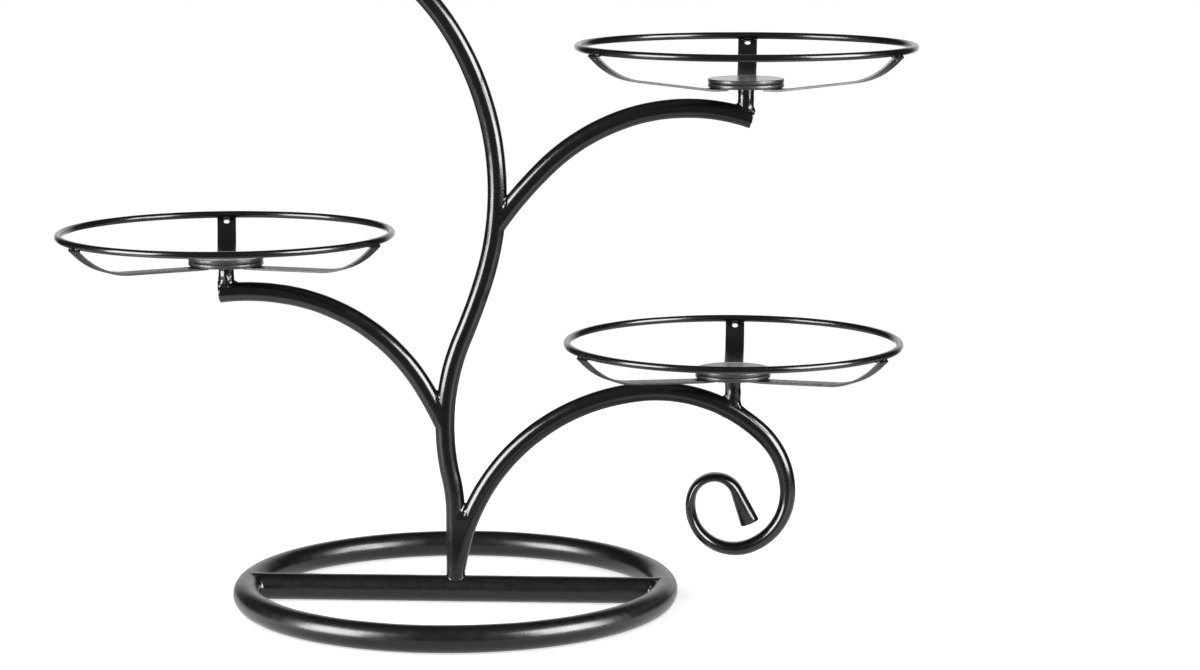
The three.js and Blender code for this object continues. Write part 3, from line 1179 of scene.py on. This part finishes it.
def painted_light_streak(tree, place, azimuth, level):
    """Painted light: a soft bright patch on the floor, long on the line from the stand to a lamp."""
    own = add(tree, "ShaderNodeMapping", vector_type="TEXTURE")
    away = Vector((math.sin(azimuth), -math.cos(azimuth), 0))
    own.inputs["Location"].default_value = away * STREAK_MIDDLE
    own.inputs["Rotation"].default_value = (0, 0, math.atan2(away.y, away.x))
    own.inputs["Scale"].default_value = (STREAK_HALF_LENGTH, STREAK_HALF_WIDTH, 1)
    tree.links.new(place, own.inputs["Vector"])
    reach = distance_from_origin(tree, own.outputs["Vector"])
    edge, core = 1, 0.2
    return mapped(tree, reach, edge, core, 0, level)


def floor_for_eye(tree, place):
    """Matt white, with a glow for the eye that makes up for less light farther out."""
    lit = add(tree, "ShaderNodeBsdfDiffuse", Color=(FLOOR_COLOUR, FLOOR_COLOUR, FLOOR_COLOUR, 1))
    glow = add(tree, "ShaderNodeEmission", Color=WHITE)
    out_from_stand = distance_from_origin(tree, place)
    strength = mapped(tree, out_from_stand, GLOW_START, GLOW_END, GLOW_LEAST, GLOW_MOST)
    for_eye = add(tree, "ShaderNodeMath", operation="MULTIPLY")
    tree.links.new(strength, for_eye.inputs[0])
    tree.links.new(ray_share(tree, "Is Camera Ray"), for_eye.inputs[1])
    tree.links.new(for_eye.outputs[0], glow.inputs["Strength"])
    return summed(tree, lit, glow)


def floor_in_gloss(tree, place):
    """The floor as it shows in gloss: painted levels of light and shade, with painted streaks of the
    lamps' light on them.
    """
    total = add(tree, "ShaderNodeEmission", Strength=1.0)
    # Painted light and shade: the floor's brightness in gloss follows its Y, not the lamps.
    tree.links.new(levels_along_y(tree, place, FLOOR_PAINTED_GLOSS_LEVELS), total.inputs["Color"])
    # Painted light: one bright emission patch on the floor for each lamp, seen in gloss.
    for azimuth, level in PAINTED_LIGHT_STREAKS.items():
        patch = add(tree, "ShaderNodeEmission", Color=WHITE)
        tree.links.new(painted_light_streak(tree, place, math.radians(azimuth), level), patch.inputs["Strength"])
        total = summed(tree, total, patch)
    return total


def floor_material():
    material = bpy.data.materials.new("floor_white")
    material.use_nodes = True
    tree = material.node_tree
    tree.nodes.clear()
    place = tree.nodes.new("ShaderNodeTexCoord").outputs["Object"]
    in_gloss = ray_share(tree, "Is Glossy Ray", "Is Transmission Ray")
    floor = mixed(tree, in_gloss, floor_for_eye(tree, place), floor_in_gloss(tree, place))
    out = tree.nodes.new("ShaderNodeOutputMaterial")
    tree.links.new(floor.outputs[0], out.inputs["Surface"])
    return material


def make_floor():
    angles = [2 * math.pi * k / 96 for k in range(96)]
    rim = [(FLOOR_HALF_WIDTH * math.cos(a), FLOOR_HALF_DEPTH * math.sin(a), 0) for a in angles]
    mesh = bpy.data.meshes.new("floor")
    mesh.from_pydata(rim, [], [list(range(len(rim)))])
    mesh.materials.append(floor_material())
    floor = bpy.data.objects.new("floor", mesh)
    scene.collection.objects.link(floor)


def make_world():
    """White all round for the eye. Gloss shows the white backdrop behind, in a dim studio."""
    world = bpy.data.worlds.new("studio")
    scene.world = world
    world.use_nodes = True
    tree = world.node_tree
    tree.nodes.clear()
    white = add(tree, "ShaderNodeBackground", Color=WHITE, Strength=1.0)
    fill = add(tree, "ShaderNodeBackground", Color=WHITE, Strength=ROOM_FILL)
    room = add(tree, "ShaderNodeBackground", Strength=1.0)
    direction = tree.nodes.new("ShaderNodeTexCoord").outputs["Generated"]
    tree.links.new(levels_along_y(tree, direction, ROOM_LEVELS), room.inputs["Color"])
    in_gloss = ray_share(tree, "Is Glossy Ray", "Is Transmission Ray")
    unseen = mixed(tree, in_gloss, fill, room)
    everything = mixed(tree, ray_share(tree, "Is Camera Ray"), unseen, white)
    out = tree.nodes.new("ShaderNodeOutputWorld")
    tree.links.new(everything.outputs[0], out.inputs["Surface"])


def softbox(name, azimuth, elevation, distance, width, radiance, for_gloss):
    """Area lamp aimed at the middle of the stand. Azimuth 0 is in front, 90 is to the right.

    It shows in gloss alone or lights matt surfaces alone."""
    lamp = bpy.data.lights.new(name, "AREA")
    lamp.shape = "RECTANGLE"
    lamp.size = width
    lamp.size_y = LAMP_HEIGHT
    lamp.energy = radiance * math.pi * width * LAMP_HEIGHT
    obj = bpy.data.objects.new(name, lamp)
    scene.collection.objects.link(obj)
    a, e = math.radians(azimuth), math.radians(elevation)
    way = Vector((math.sin(a) * math.cos(e), -math.cos(a) * math.cos(e), math.sin(e)))
    obj.location = Vector(LAMPS_AIM) + way * distance
    obj.rotation_mode = "QUATERNION"
    obj.rotation_quaternion = (-way).to_track_quat("-Z", "Y")
    obj.visible_camera = False
    obj.visible_glossy = for_gloss
    obj.visible_diffuse = not for_gloss


def make_camera():
    data = bpy.data.cameras.new("camera")
    camera = bpy.data.objects.new("camera", data)
    scene.collection.objects.link(camera)
    scene.camera = camera
    data.sensor_width = 36
    data.lens = CAMERA_LENS
    data.clip_start = 0.05
    data.clip_end = 60
    camera.location = CAMERA_PLACE
    camera.rotation_euler = (math.radians(90 - CAMERA_DOWN), 0, math.radians(CAMERA_TURN))


make_floor()
make_world()
softbox("panel_left", -59, 13, distance=1.7, width=1.05, radiance=17, for_gloss=True)
softbox("panel_right", 65, 20, distance=1.7, width=1.15, radiance=18, for_gloss=True)
softbox("soft_left", -50, 38, distance=2.0, width=1.2, radiance=3.0, for_gloss=False)
softbox("soft_right", 55, 45, distance=2.0, width=1.2, radiance=2.2, for_gloss=False)
make_camera()
